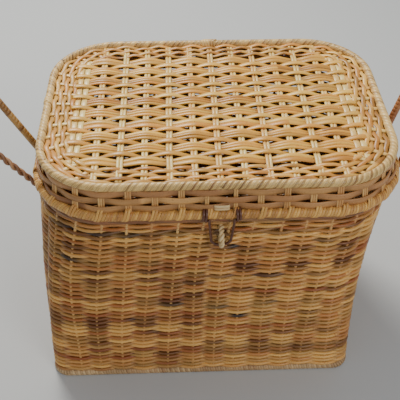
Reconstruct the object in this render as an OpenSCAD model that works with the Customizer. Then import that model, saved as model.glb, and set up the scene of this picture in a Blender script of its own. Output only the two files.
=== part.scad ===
// Wicker storage trunk: a woven cane body with a wrapped foot rim, a flat woven
// lid hinged on two cane loops, a hanging hasp over a twisted eye, and a hoop
// handle on each side. The origin is the centre of the trunk on the floor,
// +X runs to the right along the longest side, the front faces -Y, +Z is up.

/* [Overall] */
// Width of the body at its foot
body_base_w = 586; // [480:1:720]
// Depth of the body at its foot
body_base_d = 430; // [360:1:540]
// Height of the centre of the rolled border above the floor
border_z = 421; // [340:1:520]
// How much further out the body's top stands than its foot, on each side
body_flare = 3; // [0:0.5:8]
// How far the body's top sits to the right of its foot
top_shift = 24; // [0:1:30]

/* [Body] */
// Corner radius of the foot
base_corner_r = 34; // [20:1:60]
// Corner radius of the wall at its top
top_corner_r = 116; // [70:1:130]
// Thickness of the woven wall
wall_t = 6; // [5:0.5:8]
// Diameter of the wrapped foot rim
foot_rim_d = 16; // [13:0.5:20]
// How much of the foot rim is worn flat underneath
foot_flat = 1; // [0.5:0.1:1.5]
// Diameter of the rolled border
border_d = 16; // [13:0.5:18]
// Diameter of the rod inside a wrapped rim
rim_core_d = 8; // [5:0.5:9]
// Diameter of an upright stake
stake_d = 7; // [6.5:0.5:8]
// Number of upright stakes in a quarter of the wall
stakes_per_quarter = 11; // [8:1:13]
// Thickness of the woven floor
floor_t = 6; // [5:0.5:8]
// Spacing of the floor's stakes
floor_stake_pitch = 42; // [36:1:60]

/* [Lid] */
// How far the lid's top rim stands out beyond the body's top on each side
lid_overhang = 4; // [2:0.5:8]
// Corner radius of the lid's top rim
lid_corner_r = 124; // [80:1:134]
// How far the lower rim stands out beyond the top rim on each side
lid_flare = 11; // [4:1:12]
// How far the lid sits to the right of the body
lid_shift = 4; // [0:1:9]
// Distance between the centres of the lid's two rims
lid_skirt_h = 52; // [46:1:70]
// Diameter of the wrapped top rim
top_rim_d = 14; // [12:0.5:16]
// Diameter of the wrapped lower rim
low_rim_d = 16.5; // [14:0.5:18]
// Thickness of the woven skirt
skirt_t = 6; // [5:0.5:7]
// Thickness of the woven top
lid_t = 8; // [7:0.5:9]
// Width of the finely woven border at the lid's left and right
edge_side_w = 46; // [36:1:60]
// Width of the finely woven border at the lid's front and rear
edge_front_w = 40; // [30:1:56]
// Diameter of a stake across the lid's top
lid_stake_d = 9; // [8.5:0.5:10]
// Number of stakes across the lid's top
lid_stakes_n = 12; // [9:1:14]

/* [Fastening] */
// Clearance between the lid's rim and what turns on it
turn_gap = 0.45; // [0.3:0.05:0.8]
// Number of stakes between the rear's middle and a hinge loop
hinge_stakes = 3; // [1:1:3]
// Width of a hinge loop
hinge_w = 12; // [8:1:18]
// Thickness of a hinge loop
hinge_t = 3; // [2:0.5:4]
// Place of the hasp and the eye, to the right of the middle
clasp_x = 5; // [-60:1:60]
// Diameter of the hasp's cane
hasp_d = 5; // [4:0.5:6]
// Distance between the hasp's two legs where they leave the rim
hasp_w = 50; // [40:1:60]
// Play of the hasp's bend below the eye
hasp_slack = 2.5; // [1.5:0.5:6]
// Gap between the eye and the border above it
eye_gap = 0.8; // [0.5:0.1:2]
// Inside radius of the hasp's bottom bend
hasp_bend_r = 14; // [12:1:18]
// Lean of the hanging hasp towards the wall
hasp_lean = 10; // [4:1:12]
// Diameter of the twisted eye
eye_d = 9; // [7:0.5:10]
// Distance between the eye's two legs
eye_h = 28; // [24:1:30]
// Reach of the eye in front of the wall
eye_reach = 32; // [28:1:34]

/* [Bindings] */
// Length of the binding over the joint at the rear of the top rim
splice_len = 26; // [16:1:40]
// Thickness of that binding
splice_t = 2; // [1.5:0.5:3]
// Length of the tie round the left side of the top rim
tie_len = 14; // [8:1:20]
// Thickness of that tie
tie_t = 1.5; // [1:0.5:2.5]
// Distance of the tie behind the lid's middle
tie_y = 20; // [-60:1:60]
// Width of the doubled strand laid over the skirt above the hasp
keeper_w = 26; // [20:1:32]
// Height of that strand
keeper_h = 11; // [8:1:14]
// Thickness of that strand
keeper_t = 5; // [4:0.5:6]

/* [Handles] */
// Height of the handles' pivots below the rolled border
pivot_drop = 34; // [26:1:50]
// Distance of the pivots from the wall
pivot_off = 11; // [10:1:34]
// Distance of the handles' middle in front of the trunk's middle
handle_front = 43; // [0:1:70]
// Length of the handle's foot bar
handle_foot_w = 86; // [80:1:110]
// Reach of a handle from its pivot to the outside of its bend
handle_reach = 200; // [180:1:230]
// Radius of a handle's bend
handle_bend_r = 64; // [56:1:70]
// Diameter of the rod inside a handle
handle_rod_d = 8; // [6:0.5:9]
// Diameter of a handle's wrapped arm
handle_wrap_d = 13; // [11:0.5:14]
// Diameter of a handle's twisted arm
handle_twist_d = 11; // [10:0.5:12]
// Angle of the left handle from upright
left_tilt = 33; // [20:1:60]
// Angle of the right handle from upright
right_tilt = 19; // [19:1:60]
// Thickness of a handle's holding loop
holder_t = 3; // [2:0.5:4]
// Width of a handle's holding loop
holder_w = 12; // [8:1:16]

/* [Hidden] */
$fn = 96;
facets = 32;
seal = 0.1;
// How far the ends of the wall and of the skirt run into their rims
sink = 3;
skirt_sink = 2;
// Height of a slice that the wall is blended between
slice_h = 1;
// How far a stake's ends stay inside the weave
stake_inset = 1;
// Room for what turns on the lower rim, where the skirt and the border stop
hinge_room = 2;
ring_room = 1;
border_room = 0.35;

cane = [0.74, 0.55, 0.34];
pale_cane = [0.88, 0.74, 0.52];
dark_cane = [0.42, 0.26, 0.15];
core_wood = [0.66, 0.50, 0.33];

// Heights
foot_z = foot_rim_d/2 - foot_flat;
floor_z = foot_z;
wall_bottom_z = foot_z + foot_rim_d/2 - sink;
wall_top_z = border_z - border_d/2 + sink;
low_rim_z = border_z + border_d/2 + low_rim_d/2 + turn_gap;
top_rim_z = low_rim_z + lid_skirt_h;
lid_z = top_rim_z - 1;

// Widths and depths that follow the foot's
body_top_w = body_base_w + 2*body_flare;
body_top_d = body_base_d + 2*body_flare;
lid_w = body_top_w + 2*lid_overhang;
lid_d = body_top_d + 2*lid_overhang;

// Centre lines of the rings, as [width, depth, corner radius]
foot_line = [body_base_w - foot_rim_d, body_base_d - foot_rim_d, base_corner_r - foot_rim_d/2];
wall_base_line = foot_line;
wall_top_line = [body_top_w - wall_t, body_top_d - wall_t, top_corner_r - wall_t/2];
top_rim_line = [lid_w - top_rim_d, lid_d - top_rim_d, lid_corner_r - top_rim_d/2];
low_rim_line = grow([lid_w, lid_d, lid_corner_r], lid_flare - low_rim_d/2);

// The lid's hinge runs along the middle of its lower rim, at the rear
hinge_y = low_rim_line.y/2;
front_rim_y = -low_rim_line.y/2;
border_rear_y = wall_top_line.y/2;
// A hinge loop goes through the wall midway between two stakes
hinge_x = hinge_stakes*quarter_length(wall_top_line)/stakes_per_quarter;

// Stakes
quarter = stakes_per_quarter;
front_half = ceil(quarter*0.55);

// Clasp
strap_r = low_rim_d/2 + turn_gap;
hasp_ring_t = hasp_d + 0.4;
hasp_ring_r = strap_r + hasp_ring_t/2;
hasp_bend = hasp_bend_r + hasp_d/2;
wall_front_y = -body_top_d/2;
eye_z = border_z - border_d/2 - eye_gap - eye_d/2 - eye_h/2;
eye_bottom_z = eye_z - eye_h/2 - eye_d/2;
hasp_drop = (low_rim_z - eye_bottom_z + hasp_slack)/cos(hasp_lean) + hasp_d;
eye_arc_y = wall_front_y - eye_reach + eye_h/2 + eye_d/2;

// Handles
handle_foot_d = handle_rod_d;
pivot_z = border_z - pivot_drop;
pivot_x = body_top_w/2 + pivot_off;
// The arm leans outwards until it is tangent to the bend
arm_run = handle_reach - handle_bend_r;
arm_gap = handle_bend_r - handle_foot_w/2;
arm_dist = sqrt(arm_run*arm_run + arm_gap*arm_gap);
sleeve_start = 8;
bend_extra = 0.5;
holder_y = handle_foot_w/2 - holder_w;

function grow(line, by) = [line.x + 2*by, line.y + 2*by, line.z + by];

// A point on a quarter of a rounded rectangle, s along it from the middle of
// the front to the middle of the right side
function quarter_length(line) = line.x/2 + line.y/2 - 2*line.z + PI/2*line.z;
function quarter_point(line, s) =
    let (flat_x = line.x/2 - line.z,
         arc = PI/2*line.z,
         turn = (s - flat_x)/line.z*180/PI)
    s < flat_x ? [s, -line.y/2]
    : s < flat_x + arc
        ? [flat_x + line.z*sin(turn), -line.y/2 + line.z - line.z*cos(turn)]
        : [line.x/2, -line.y/2 + line.z + s - flat_x - arc];
// A point at the share t of the way round, from the middle of the front
function ring_point(line, t) =
    let (q = quarter_length(line),
         k = floor(t*4),
         s = (t*4 - k)*q,
         p = quarter_point(line, k == 0 || k == 2 ? s : q - s))
    k == 0 ? p : k == 1 ? [p.x, -p.y] : k == 2 ? [-p.x, -p.y] : [-p.x, p.y];

// Sweeps its 2D child round a rounded rectangle. The child's x is the
// distance outside the line, and its y is the height.
module round_path(line) {
    flat_x = line.x/2 - line.z;
    flat_y = line.y/2 - line.z;
    for (c = [[1, 1, 0], [-1, 1, 90], [-1, -1, 180], [1, -1, 270]])
        translate([c.x*flat_x, c.y*flat_y, 0])
            rotate([0, 0, c.z])
                rotate_extrude(angle = 90)
                    translate([line.z, 0]) children();
    for (turn = [0, 180])
        rotate([0, 0, turn]) {
            translate([line.x/2, 0, 0])
                rotate([90, 0, 0])
                    linear_extrude(height = 2*flat_y, center = true) children();
            rotate([0, 0, 90])
                translate([line.y/2, 0, 0])
                    rotate([90, 0, 0])
                        linear_extrude(height = 2*flat_x, center = true) children();
        }
}

// A round ring with a smaller ring-shaped space sealed inside it
module wrapped_ring(line, z, d, flat = 0) {
    difference() {
        round_path(line)
            translate([0, z])
                difference() {
                    circle(d = d);
                    circle(d = rim_core_d + 2*seal);
                    if (flat > 0)
                        translate([-d, -d - d/2 + flat]) square([2*d, d]);
                }
    }
}

module core_ring(line, z) {
    round_path(line) translate([0, z]) circle(d = rim_core_d);
}

// A filled rounded rectangle
module round_rect(line) {
    for (x = [-1, 1])
        for (y = [-1, 1])
            translate([x*(line.x/2 - line.z), y*(line.y/2 - line.z)]) circle(r = line.z);
    square([line.x, line.y - 2*line.z], center = true);
    square([line.x - 2*line.z, line.y], center = true);
}

// A rod from one point to another
module rod(a, b, d) {
    run = b - a;
    len = norm(run);
    translate(a)
        rotate([0, acos(run.z/len), atan2(run.y, run.x)])
            cylinder(h = len, d = d);
}

// A strap of a width, along X, round two circles of one radius in the YZ plane
module strap(a, b, r, t, w, x) {
    run = b - a;
    gap = norm(run);
    translate([x, 0, 0])
        rotate([90, 0, 90])
            translate(a)
                rotate([0, 0, atan2(run.y, run.x)])
                    for (end = [0, 1])
                        translate([end*gap, 0, 0])
                            rotate([0, 0, 180*end]) {
                                rotate([0, 0, 90])
                                    rotate_extrude(angle = 180)
                                        translate([r, -w/2]) square([t, w]);
                                translate([0, r, -w/2]) cube([gap, t, w]);
                            }
}

// ---------- body ----------

module foot_rim_core() {
    color(core_wood) core_ring(foot_line, foot_z);
}

module foot_rim_wrap() {
    color(pale_cane) wrapped_ring(foot_line, foot_z, foot_rim_d, foot_flat);
}

module floor_weave() {
    color(cane)
        translate([0, 0, floor_z - floor_t/2])
            linear_extrude(height = floor_t)
                round_rect(grow(foot_line, -foot_rim_d/2 - seal));
}

module floor_stakes() {
    reach = foot_line.y/2 - foot_rim_d/2 - 1;
    half = floor((foot_line.x/2 - foot_line.z - foot_rim_d/2 - stake_d)/floor_stake_pitch);
    color(core_wood)
        for (i = [-half:half])
            rod([i*floor_stake_pitch, -reach, floor_z], [i*floor_stake_pitch, reach, floor_z], stake_d);
}

// Moves what sits on the body's top over to its place above the foot
module on_top() {
    translate([top_shift, 0, 0]) children();
}

// Stakes are counted from the middle of the front, half a pitch off it
module wall_stakes(first, last) {
    for (i = [first:last]) {
        t = ((i + 0.5)/(4*quarter) + 1)%1;
        low = ring_point(wall_base_line, t);
        high = ring_point(wall_top_line, t);
        rod([low.x, low.y, wall_bottom_z + stake_inset],
            [high.x + top_shift, high.y, wall_top_z - stake_inset], stake_d);
    }
}

module stakes_front() {
    color(core_wood) wall_stakes(-front_half, front_half - 1);
}

module stakes_right() {
    color(core_wood) wall_stakes(front_half, 2*quarter - front_half - 1);
}

module stakes_rear() {
    color(core_wood) wall_stakes(2*quarter - front_half, 2*quarter + front_half - 1);
}

module stakes_left() {
    color(core_wood) wall_stakes(2*quarter + front_half, 4*quarter - front_half - 1);
}

// A thin slice of a rounded rectangle, for blending the wall
module slice(line, z) {
    translate([0, 0, z])
        linear_extrude(height = slice_h)
            for (x = [-1, 1])
                for (y = [-1, 1])
                    translate([x*(line.x/2 - line.z), y*(line.y/2 - line.z)])
                        circle(r = line.z, $fn = facets);
}

module wall_blend(side) {
    hull() {
        slice(grow(wall_base_line, side), wall_bottom_z - (side > 0 ? 0 : slice_h));
        on_top() slice(grow(wall_top_line, side), wall_top_z - (side > 0 ? slice_h : 0));
    }
}

module wall_weave() {
    color(cane)
        difference() {
            wall_blend(wall_t/2);
            wall_blend(-wall_t/2);
            on_top() {
                for (x = [-hinge_x, hinge_x])
                    hinge_space(x);
                catch_eye_space();
                for (side = [-1, 1])
                    for (end = [-1, 1])
                        holder_space(side, end);
            }
        }
}

module border_core() {
    color(core_wood) on_top() core_ring(wall_top_line, border_z);
}

// The rods part where the hasp's rings turn on the lid's rim
module border_rods() {
    color(cane)
        on_top()
            difference() {
                wrapped_ring(wall_top_line, border_z, border_d);
                hasp_room(border_room);
            }
}

// ---------- hinge loops ----------

module hinge_strap(x, extra = 0) {
    strap([hinge_y, low_rim_z], [border_rear_y, border_z],
        max(low_rim_d, border_d)/2 + turn_gap - extra, hinge_t + 2*extra, hinge_w + 2*extra, x);
}

module hinge_space(x) {
    hinge_strap(x, turn_gap);
}

module hinge_loop(x) {
    color(dark_cane) on_top() hinge_strap(x);
}

module hinge_loop_left() {
    hinge_loop(-hinge_x);
}

module hinge_loop_right() {
    hinge_loop(hinge_x);
}

// ---------- catch eye ----------

module eye_tube(d) {
    tail = wall_front_y + wall_t + 4;
    translate([clasp_x, eye_arc_y, eye_z])
        rotate([0, -90, 0])
            rotate([0, 0, 180])
                rotate_extrude(angle = 180)
                    translate([eye_h/2, 0]) circle(d = d);
    for (z = [-eye_h/2, eye_h/2])
        rod([clasp_x, eye_arc_y, eye_z + z], [clasp_x, tail, eye_z + z], d);
}

module catch_eye_space() {
    eye_tube(eye_d + 2*seal);
}

module catch_eye() {
    color(pale_cane) on_top() eye_tube(eye_d);
}

// ---------- lid ----------

module lid_frame() {
    on_top() translate([lid_shift, 0, 0]) children();
}

lid_plate_line = grow(top_rim_line, -top_rim_d/2 - seal);

module lid_centre_2d(extra = 0) {
    square([lid_w - 2*top_rim_d - 2*edge_side_w + 2*extra,
            lid_d - 2*top_rim_d - 2*edge_front_w + 2*extra], center = true);
}

module lid_weave() {
    color(pale_cane)
        lid_frame()
            translate([0, 0, lid_z - lid_t/2])
                linear_extrude(height = lid_t) lid_centre_2d();
}

module lid_edge_weave() {
    color(cane)
        lid_frame()
            translate([0, 0, lid_z - lid_t/2])
                linear_extrude(height = lid_t)
                    difference() {
                        round_rect(lid_plate_line);
                        lid_centre_2d();
                    }
}

// How far the lid's plate reaches to the rear at a distance x from its middle
function plate_reach(x) =
    let (past = max(0, x - lid_plate_line.x/2 + lid_plate_line.z))
    lid_plate_line.y/2 - lid_plate_line.z + sqrt(pow(lid_plate_line.z, 2) - past*past);

module lid_stakes() {
    pitch = (lid_w - 2*top_rim_d - 2*edge_side_w)/lid_stakes_n;
    color(pale_cane)
        lid_frame()
            for (i = [0:lid_stakes_n - 1]) {
                x = (i - (lid_stakes_n - 1)/2)*pitch;
                reach = plate_reach(abs(x) + lid_stake_d/2) - sink;
                rod([x, -reach, lid_z], [x, reach, lid_z], lid_stake_d);
            }
}

module lid_top_rim_core() {
    color(core_wood) lid_frame() core_ring(top_rim_line, top_rim_z);
}

module lid_top_rim_wrap() {
    color(pale_cane) lid_frame() wrapped_ring(top_rim_line, top_rim_z, top_rim_d);
}

skirt_bottom_z = low_rim_z + low_rim_d/2 - skirt_sink;
skirt_top_z = top_rim_z - top_rim_d/2 + skirt_sink;
// The skirt leans out from the top rim to the lower one
skirt_out = (low_rim_line.x - top_rim_line.x)/2;

function skirt_offset(z) = skirt_out*(top_rim_z - z)/lid_skirt_h;

module lid_skirt_weave() {
    color(cane)
        difference() {
            lid_frame()
                round_path(top_rim_line)
                    polygon([
                        [skirt_offset(skirt_bottom_z) - skirt_t/2, skirt_bottom_z],
                        [skirt_offset(skirt_bottom_z) + skirt_t/2, skirt_bottom_z],
                        [skirt_offset(skirt_top_z) + skirt_t/2, skirt_top_z],
                        [skirt_offset(skirt_top_z) - skirt_t/2, skirt_top_z]]);
            on_top() {
                for (x = [-hinge_x, hinge_x])
                    hinge_notch(x);
                hasp_room(ring_room);
            }
        }
}

// Room for a hinge loop as the rim turns in it
module hinge_notch(x) {
    translate([x, hinge_y, low_rim_z])
        rotate([0, 90, 0])
            cylinder(r = strap_r + hinge_t + hinge_room, h = hinge_w + 2*hinge_room, center = true);
}

// Room for the hasp's rings as they turn on the rim
module hasp_room(gap) {
    for (side = [-1, 1])
        translate([clasp_x + side*hasp_w/2, front_rim_y, low_rim_z])
            rotate([0, 90, 0])
                cylinder(r = strap_r + hasp_ring_t + gap, h = 2*hasp_d + 1.5, center = true);
}

module lid_skirt_stakes() {
    color(cane)
        difference() {
            lid_frame()
                for (i = [0:4*quarter - 1]) {
                    t = (i + 0.5)/(4*quarter);
                    low = ring_point(grow(top_rim_line, skirt_offset(skirt_bottom_z + stake_inset)), t);
                    high = ring_point(grow(top_rim_line, skirt_offset(skirt_top_z - stake_inset)), t);
                    rod([low.x, low.y, skirt_bottom_z + stake_inset],
                        [high.x, high.y, skirt_top_z - stake_inset], stake_d);
                }
            on_top() {
                for (x = [-hinge_x, hinge_x])
                    hinge_notch(x);
                hasp_room(ring_room);
            }
        }
}

module lid_lower_rim_core() {
    color(core_wood) lid_frame() core_ring(low_rim_line, low_rim_z);
}

module lid_lower_rim_wrap() {
    color(pale_cane) lid_frame() wrapped_ring(low_rim_line, low_rim_z, low_rim_d);
}

// A short sleeve round a stretch of rim that runs along X
module rim_sleeve(x, y, z, d, len, t) {
    translate([x, y, z])
        rotate([0, 90, 0])
            difference() {
                cylinder(d = d + 2*seal + 2*t, h = len, center = true);
                cylinder(d = d + 2*seal, h = len + 2, center = true);
            }
}

// The binding stops above the woven top, on the side that faces it
module rim_splice_binding() {
    color(pale_cane)
        lid_frame()
            difference() {
                rim_sleeve(0, top_rim_line.y/2, top_rim_z, top_rim_d, splice_len, splice_t);
                translate([0, 0, lid_z + lid_t/2 + seal - top_rim_d])
                    cube([splice_len + 2, top_rim_line.y, 2*top_rim_d], center = true);
            }
}

// A tie round the top rim on the left side, which runs along Y
module rim_tie() {
    color(cane)
        lid_frame()
            translate([-top_rim_line.x/2, tie_y, top_rim_z])
                rotate([0, 0, 90])
                    difference() {
                        rim_sleeve(0, 0, 0, top_rim_d, tie_len, tie_t);
                        translate([0, -top_rim_d, -top_rim_d/2])
                            cube([tie_len + 2, 2*top_rim_d, 2*top_rim_d], center = true);
                    }
}

// A short doubled strand laid over the skirt between the hasp's legs
module skirt_keeper() {
    keeper_z = low_rim_z + low_rim_d/2 + keeper_h/2 + 1;
    skirt_face_y = -(top_rim_line.y/2 + skirt_offset(keeper_z) + skirt_t/2);
    color(pale_cane)
        on_top() translate([clasp_x, skirt_face_y - keeper_t/2 + 1, keeper_z])
            difference() {
                cube([keeper_w, keeper_t, keeper_h], center = true);
                for (side = [-1, 1])
                    translate([side*keeper_w/2, -keeper_t/2, 0])
                        rotate([0, 0, 45])
                            cube([2, 2, keeper_h + 1], center = true);
            }
}

// ---------- hasp ----------

// The hasp's own plane: x across, y down from the rim, laid flat
module hasp_flat() {
    bend_y = hasp_drop - hasp_bend - hasp_d/2 - 0.3;
    lean = atan2(hasp_w/2, bend_y) - asin(hasp_bend/norm([hasp_w/2, bend_y]));
    leg_end = [hasp_bend*cos(lean) - sin(lean), bend_y + hasp_bend*sin(lean) + cos(lean)];
    for (side = [-1, 1])
        rod([side*hasp_w/2, 0, 0], [side*leg_end.x, leg_end.y, 0], hasp_d);
    translate([0, bend_y, 0])
        rotate([0, 0, lean])
            rotate_extrude(angle = 180 - 2*lean)
                translate([hasp_bend, 0]) circle(d = hasp_d + 0.6);
}

module hasp_loop() {
    color(dark_cane)
        on_top() translate([clasp_x, front_rim_y, low_rim_z]) {
            rotate([hasp_lean, 0, 0])
                translate([0, -hasp_ring_r, 0])
                    rotate([-90, 0, 0]) hasp_flat();
            for (side = [-1, 1])
                translate([side*hasp_w/2, 0, 0])
                    rotate([0, 90, 0])
                        difference() {
                            cylinder(r = strap_r + hasp_ring_t, h = 2*hasp_d, center = true);
                            cylinder(r = strap_r, h = 2*hasp_d + 1, center = true);
                        }
        }
}

// ---------- handles ----------

// Handles are drawn flat: x along the pivot towards the rear, y up the handle.
// tangent point of the arm on the bend, with the bend's centre at [0, arm_run]
bend_hold = asin((handle_bend_r - handle_foot_w/2)/arm_dist);
arm_end = [handle_bend_r*cos(bend_hold), arm_run - handle_bend_r*sin(bend_hold)];

module arm(side, d, start) {
    foot = [handle_foot_w/2, 0];
    run = arm_end - foot;
    along = run/norm(run);
    from = foot + start*along;
    to = arm_end + along;
    rod([side*from.x, from.y, 0], [side*to.x, to.y, 0], d);
}

// The bend, from an angle to an angle, is a little thicker than the arms
module bend(from, angle, d) {
    translate([0, arm_run, 0])
        rotate([0, 0, from])
            rotate_extrude(angle = angle)
                translate([handle_bend_r, 0]) circle(d = d + bend_extra);
}

module rod_flat() {
    for (side = [-1, 1]) {
        arm(side, handle_rod_d, 0);
        translate([side*handle_foot_w/2, 0, 0]) sphere(d = handle_rod_d + 1.5);
    }
    bend(-bend_hold, 180 + 2*bend_hold, handle_rod_d);
    rod([-handle_foot_w/2, 0, 0], [handle_foot_w/2, 0, 0], handle_rod_d);
}

// The cane on one arm, from above the foot to the middle of the bend
module sleeve_flat(side, d) {
    bore = handle_rod_d + 2*seal;
    start = side > 0 ? -bend_hold : 90;
    difference() {
        union() {
            arm(side, d, sleeve_start);
            bend(start, 90 + bend_hold, d);
        }
        arm(side, bore, sleeve_start - 1);
        bend(side > 0 ? start : start - 1, 91 + bend_hold, bore);
    }
}

// Stands a flat handle on its pivot. side is 1 on the right, -1 on the left.
module on_pivot(side, tilt) {
    translate([top_shift + side*pivot_x, -handle_front, pivot_z])
        rotate([0, side*tilt, 0])
            rotate([0, 0, 90])
                rotate([90, 0, 0])
                    children();
}

module handle_left_rod() {
    color(core_wood) on_pivot(-1, left_tilt) rod_flat();
}

module handle_left_wrap() {
    color(cane) on_pivot(-1, left_tilt) sleeve_flat(1, handle_wrap_d);
}

module handle_left_twist() {
    color(cane) on_pivot(-1, left_tilt) sleeve_flat(-1, handle_twist_d);
}

module handle_right_rod() {
    color(core_wood) on_pivot(1, right_tilt) rod_flat();
}

module handle_right_wrap() {
    color(dark_cane) on_pivot(1, right_tilt) sleeve_flat(1, handle_wrap_d);
}

module handle_right_twist() {
    color(dark_cane) on_pivot(1, right_tilt) sleeve_flat(-1, handle_twist_d);
}

// A cane loop that goes through the wall and round a handle's foot bar
module holder_strap(side, end, extra = 0) {
    r = handle_foot_d/2 + turn_gap;
    inside_x = body_top_w/2 - wall_t - r - 2;
    translate([0, -handle_front + end*holder_y, 0])
        rotate([0, 0, side > 0 ? -90 : 90])
            strap([pivot_x, pivot_z], [inside_x, pivot_z], r - extra,
                holder_t + 2*extra, holder_w + 2*extra, 0);
}

module holder_space(side, end) {
    holder_strap(side, end, seal);
}

module holder(side, end) {
    color(dark_cane) on_top() holder_strap(side, end);
}

module holder_left_front() {
    holder(-1, -1);
}

module holder_left_rear() {
    holder(-1, 1);
}

module holder_right_front() {
    holder(1, -1);
}

module holder_right_rear() {
    holder(1, 1);
}

foot_rim_core();
foot_rim_wrap();
floor_weave();
floor_stakes();
stakes_front();
stakes_rear();
stakes_left();
stakes_right();
wall_weave();
border_core();
border_rods();
hinge_loop_left();
hinge_loop_right();
catch_eye();
holder_left_front();
holder_left_rear();
holder_right_front();
holder_right_rear();
lid_weave();
lid_edge_weave();
lid_stakes();
lid_top_rim_core();
lid_top_rim_wrap();
lid_skirt_weave();
lid_skirt_stakes();
lid_lower_rim_core();
lid_lower_rim_wrap();
rim_splice_binding();
rim_tie();
skirt_keeper();
hasp_loop();
handle_left_rod();
handle_left_wrap();
handle_left_twist();
handle_right_rod();
handle_right_wrap();
handle_right_twist();
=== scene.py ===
# %% [markdown]
# # A wicker storage trunk
# The trunk is woven from rattan: stout rods stand up as stakes, long canes are woven in and out between
# them, and split cane is wound round every rim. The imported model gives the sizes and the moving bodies.
# Here each woven face is made again from real strands, because a weave painted on a flat wall has no
# gaps, no shadows and no thickness at its edge.

# %% Load the fixed frame
import math

import bpy
import numpy as np
from mathutils import Matrix, Vector


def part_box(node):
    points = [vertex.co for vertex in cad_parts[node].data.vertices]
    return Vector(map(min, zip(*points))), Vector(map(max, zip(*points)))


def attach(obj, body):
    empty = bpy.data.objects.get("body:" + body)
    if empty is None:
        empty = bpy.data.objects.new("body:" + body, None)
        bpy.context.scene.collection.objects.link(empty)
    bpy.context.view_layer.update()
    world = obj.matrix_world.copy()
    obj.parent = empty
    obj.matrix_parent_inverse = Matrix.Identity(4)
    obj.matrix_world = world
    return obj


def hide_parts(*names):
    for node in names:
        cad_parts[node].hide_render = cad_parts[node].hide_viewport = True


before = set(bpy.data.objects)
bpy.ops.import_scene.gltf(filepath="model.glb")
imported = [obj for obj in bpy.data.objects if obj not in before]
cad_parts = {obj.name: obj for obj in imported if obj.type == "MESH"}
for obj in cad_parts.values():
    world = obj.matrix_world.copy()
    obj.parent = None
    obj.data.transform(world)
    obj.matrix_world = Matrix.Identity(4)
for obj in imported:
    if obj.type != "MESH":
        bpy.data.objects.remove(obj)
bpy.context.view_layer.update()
MM = 0.001
rng = np.random.default_rng(23)

# %% [markdown]
# ## Lines round the trunk
# Every rim and every woven row follows a rounded rectangle. A share u runs from 0 to 1 round it, from the
# middle of the front. The width and depth come from the frame's own boxes, so a piece made here sits
# where the frame says. Only the corner radii are given, because a box doesn't hold them.

# %% Rounded rectangles from the frame
def line_of(node, tube, corner):
    low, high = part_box(node)
    return dict(
        w=high[0] - low[0] - tube,
        d=high[1] - low[1] - tube,
        r=corner,
        x=(low[0] + high[0]) / 2,
        z=(low[2] + high[2]) / 2,
    )


def grown(line, by):
    return dict(line, w=line["w"] + 2 * by, d=line["d"] + 2 * by, r=line["r"] + by)


def ring_at(line, u):
    """Points and outward normals at the shares u round a line, both with z = 0."""
    w, d, r = line["w"], line["d"], line["r"]
    flat_x, flat_y, arc = w / 2 - r, d / 2 - r, math.pi / 2 * r
    quarter = flat_x + arc + flat_y
    u = np.mod(np.asarray(u, float), 1.0) * 4
    k = np.minimum(np.floor(u).astype(int), 3)
    s = (u - k) * quarter
    s = np.where(k % 2 == 1, quarter - s, s)
    turn = np.clip((s - flat_x) / r, 0, math.pi / 2)
    x = np.where(s < flat_x, s, flat_x + r * np.sin(turn))
    y = -d / 2 + r * (1 - np.cos(turn)) + np.maximum(s - flat_x - arc, 0)
    east = np.where(k < 2, 1.0, -1.0)
    south = np.where((k == 0) | (k == 3), 1.0, -1.0)
    zero = np.zeros_like(x)
    points = np.stack([line["x"] + x * east, y * south, zero], 1)
    normals = np.stack([np.sin(turn) * east, -np.cos(turn) * south, zero], 1)
    return points, normals


def length_of(line):
    return 2 * (line["w"] + line["d"]) - 8 * line["r"] + 2 * math.pi * line["r"]


FOOT = line_of("foot_rim_core", 8 * MM, 26 * MM)
BORDER = line_of("border_core", 8 * MM, 113 * MM)
LOW_RIM = line_of("lid_lower_rim_core", 8 * MM, 126.75 * MM)
TOP_RIM = line_of("lid_top_rim_core", 8 * MM, 117 * MM)
FOOT_R, BORDER_R, LOW_R, TOP_R = 8 * MM, 8 * MM, 8.25 * MM, 7 * MM
STAKES = 44
print("lines", FOOT, BORDER, LOW_RIM, TOP_RIM)
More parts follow.
